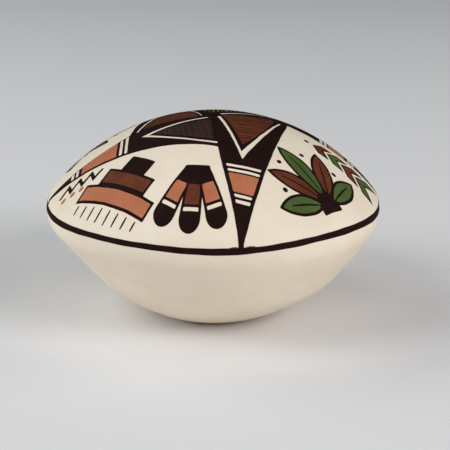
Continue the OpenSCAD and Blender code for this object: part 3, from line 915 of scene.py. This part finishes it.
def feathers(side, turn):
    """Three hanging feathers with a white bar above their black tips, tied at the top."""
    kinds = (("left", -1, TERRACOTTA, "terracotta_paint"), ("mid", 0, RED_BROWN, "brown_paint"),
             ("right", 1, TERRACOTTA, "terracotta_paint"))
    sweep = np.radians(np.linspace(180, 360, 15))
    wide = FEATHER_W / 2 + OUTLINE_W
    tip = np.column_stack((np.cos(sweep) * wide, np.sin(sweep) * wide - FEATHER_L))
    whole = [*tip, *feather_span(FEATHER_FROM, FEATHER_L, OUTLINE_W)[2:]]
    parts = (whole, feather_span(*FEATHER_FIELD, 0), feather_span(*FEATHER_BAR, 0))
    for kind, lean, material, slot in kinds:
        shapes = []
        for part in parts:
            hung = swung(np.asarray(part) + (0, -FEATHER_FROM), lean * FEATHER_LEAN)
            shapes.append(drawn(placed(hung, turn, FEATHER_SHARE)))
        painted(f"painted_feather_{kind}_{side}", material, slot, [shapes[1]], [f"feather_{kind}_{side}"])
        painted(f"feather_outline_{kind}_{side}", BLACK, "black_paint", shapes)
    tie = [(-4.9, -5.4), (4.9, -5.4), (3.75, -2.3), (-3.75, -2.3)]
    outline = drawn(placed(tie, turn, FEATHER_SHARE))
    nodes = [f"feather_line_{side}"]
    painted(f"painted_feather_tie_{side}", BLACK, "black_paint", [outline], nodes, RUN_OVER_COAT)


def mitred(path, width):
    """Outline of a line of even width through sharp bends."""
    way = np.diff(path, axis=0)
    aside = np.column_stack((-way[:, 1], way[:, 0])) / np.hypot(*way.T)[:, None]
    before, after = np.vstack((aside[:1], aside)), np.vstack((aside, aside[-1:]))
    reach = (before + after) / (1 + np.sum(before * after, axis=1))[:, None] * width / 2
    return np.vstack((path + reach, (path - reach)[::-1]))


def zigzag(side, turn):
    """A zigzag line under the spike beside the cloud, with three dots under it."""
    first, last = np.array([-36.4, -21.9]), np.array([-50.2, -17.6])
    bends, swing, width = 8, 1.6, 1.05
    dot_shares, dot_drop, dot_r = (0.4, 0.62, 0.84), 3.5, 0.85
    outward = away(first, last, (0, 0))
    share = np.linspace(0, 1, bends)[:, None]
    lean = np.where(np.arange(bends) % 2, swing, -swing)[:, None]
    path = first + share * (last - first) + lean * outward
    painted(f"zigzag_{side}", BLACK, "black_paint", [drawn(swung(mitred(path, width), turn))])
    spots = []
    for share in dot_shares:
        place = first + share * (last - first) + dot_drop * outward
        spots.append(drawn(swung(ring(dot_r) + place, turn)))
    painted(f"zigzag_dots_{side}", TERRACOTTA, "terracotta_paint", spots)


def chevron(number, grow):
    """One of a column of chevrons that point to the mouth and get narrower, its sides moved outwards."""
    half = CHEVRON_W / 2 - CHEVRON_TAPER * number + grow
    low = CHEVRON_PITCH * number + CHEVRON_LOW - grow
    high = low + CHEVRON_H + 2 * grow
    fall = CHEVRON_SLOPE * half
    below = [(-half, low - fall), (0, low), (half, low - fall)]
    above = [(half, high - fall), (0, high), (-half, high - fall)]
    return below + above


def chevrons(side, turn):
    """A column of chevrons, green and brown by turns, in front with a dot above them."""
    for number in range(4):
        material, slot = ((GREEN, "green_paint"), (RED_BROWN, "brown_paint"))[number % 2]
        inner, outer = (
            drawn(placed(chevron(number, grow), turn, CHEVRON_SHARE)) for grow in (0, CHEVRON_OUTLINE_W))
        painted(f"chevron_{number + 1}_{side}", material, slot, [inner])
        painted(f"chevron_outline_{number + 1}_{side}", BLACK, "black_paint", [outer, inner])
    if side == "front":
        spot = dot((0, CHEVRON_DOT_RISE), turn, CHEVRON_SHARE, CHEVRON_DOT_R)
        painted("chevron_dot_front", BLACK, "black_paint", [spot])


# Soft boxes round the pot: turn from the front, rise, width and height in metres, power and tint
PLAIN_LIGHT, COOL_LIGHT = (1.0, 1.0, 1.0), (0.96, 1.0, 1.01)
SOFT_BOXES = {
    "right_box": (54, 30, (0.8, 0.7), 12.8, PLAIN_LIGHT),
    "right_low_box": (52, 24, (1.0, 0.4), 4.2, PLAIN_LIGHT),
    "right_fill": (97, 30, (0.7, 0.7), 4.2, PLAIN_LIGHT),
    "front_low_box": (-8, 25, (1.2, 0.35), 3.6, PLAIN_LIGHT),
    "left_box": (-62, 46, (0.7, 0.7), 5.9, COOL_LIGHT),
    "left_low_box": (-82, 21, (1.1, 0.4), 10.6, COOL_LIGHT),
    "left_fill": (-100, 30, (0.7, 0.7), 2.1, COOL_LIGHT),
    "back_fill": (-125, 40, (0.8, 1.0), 5.0, COOL_LIGHT),
    "top_fill": (0, 80, (1.0, 1.0), 2.0, PLAIN_LIGHT),
}


def soft_box(name, turn, rise, size, power, tint):
    """A light that looks at the middle of the pot from a turn and a rise."""
    distance, middle = 1.8, Vector((0, 0, 0.03))
    light = bpy.data.lights.new(name, "AREA")
    light.shape = "RECTANGLE"
    light.size, light.size_y = size
    light.energy = power
    light.color = tint
    holder = bpy.data.objects.new(name, light)
    bpy.context.scene.collection.objects.link(holder)
    turn, rise = math.radians(turn), math.radians(rise)
    level = math.cos(rise)
    way = Vector((math.sin(turn) * level, -math.cos(turn) * level, math.sin(rise)))
    facing = (-way).to_track_quat("-Z", "Y").to_matrix().to_4x4()
    holder.matrix_world = Matrix.Translation(middle + way * distance) @ facing


def studio():
    """A paper floor with painted light falloff, with soft boxes at the sides, low in front, behind and
    overhead.
    """
    half = 3.0
    mesh = bpy.data.meshes.new("paper_floor")
    corners = [(-half, -half, 0), (half, -half, 0), (half, half, 0), (-half, half, 0)]
    mesh.from_pydata(corners, [], [(0, 1, 2, 3)])
    mesh.materials.append(paper_finish())
    floor = bpy.data.objects.new("paper_floor", mesh)
    bpy.context.scene.collection.objects.link(floor)
    for name, box in SOFT_BOXES.items():
        soft_box(name, *box)
    world = bpy.data.worlds.new("soft_room")
    world.use_nodes = True
    room = world.node_tree.nodes["Background"].inputs
    room["Color"].default_value = (0.96, 0.98, 1.0, 1.0)
    room["Strength"].default_value = 0.02
    bpy.context.scene.world = world
    bpy.context.scene.view_settings.view_transform = "Standard"


def camera():
    """The viewer: a long lens a little above the shoulder."""
    distance, rise, roll = 478.8, 17.66, 0.0021
    target = Vector((3.865, 0.0, 29.48)) * MM
    level = math.radians(rise)
    spot = target + Vector((0, -math.cos(level), math.sin(level))) * distance * MM
    lens = bpy.data.cameras.new("viewer")
    lens.sensor_width = 36.0
    lens.lens = 110.9
    holder = bpy.data.objects.new("viewer", lens)
    bpy.context.scene.collection.objects.link(holder)
    aim = (target - spot).to_track_quat("-Z", "Y").to_matrix().to_4x4()
    holder.matrix_world = Matrix.Translation(spot) @ aim @ Matrix.Rotation(roll, 4, "Z")
    bpy.context.scene.camera = holder


camera()
studio()
foot_disc()
clay_body()
slip_coat()
hole_paint_and_shade()
stripe()
star()
smudges()
blocks()
blades()
for side, turn in SIDES.items():
    leaf_fan(side, FAN_TURNS[side])
    cloud(side, CLOUD_TURN + turn)
    feathers(side, FEATHER_TURN + turn)
    zigzag(side, turn)
    chevrons(side, CHEVRON_TURNS[side])
